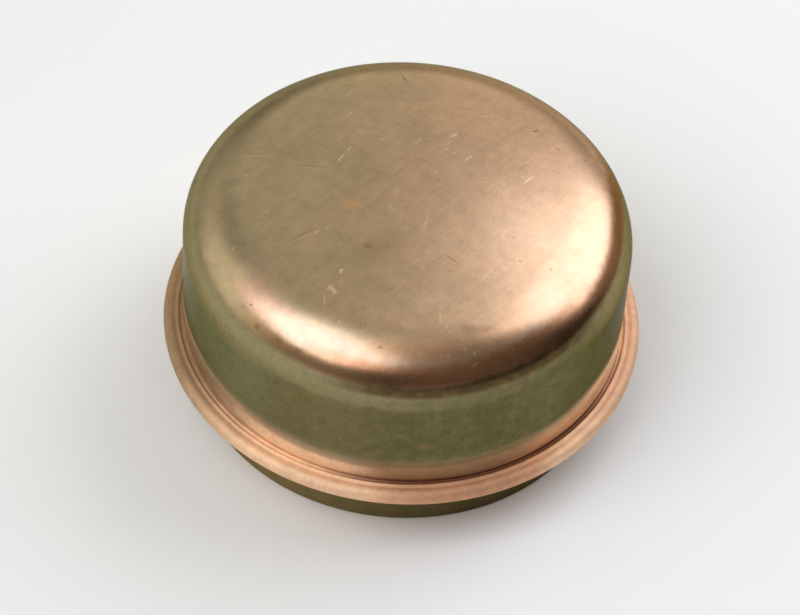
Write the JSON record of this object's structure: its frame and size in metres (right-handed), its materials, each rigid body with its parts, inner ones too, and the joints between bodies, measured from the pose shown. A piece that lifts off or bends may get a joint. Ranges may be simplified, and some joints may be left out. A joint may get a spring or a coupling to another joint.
{
  "type": "hub grease cap",
  "caption": "Round drawn-steel cap with a domed crown, a folded flange and a press-in skirt, which closes the end of a wheel hub and keeps the bearing grease in.",
  "frame": {"origin": "on the cap's axis, in the plane of the open rim", "axes": "+Z along the axis from the open rim to the crown; X and Y are any two directions across it, because the cap is round"},
  "size_m": [0.0584, 0.0584, 0.0308],
  "materials": {
    "plated_steel": "yellow chromate zinc plate on drawn steel, satin, lightly scratched"
  },
  "bodies": {
    "root": {"grease_cap": "plated_steel"}
  },
  "joints": []
}
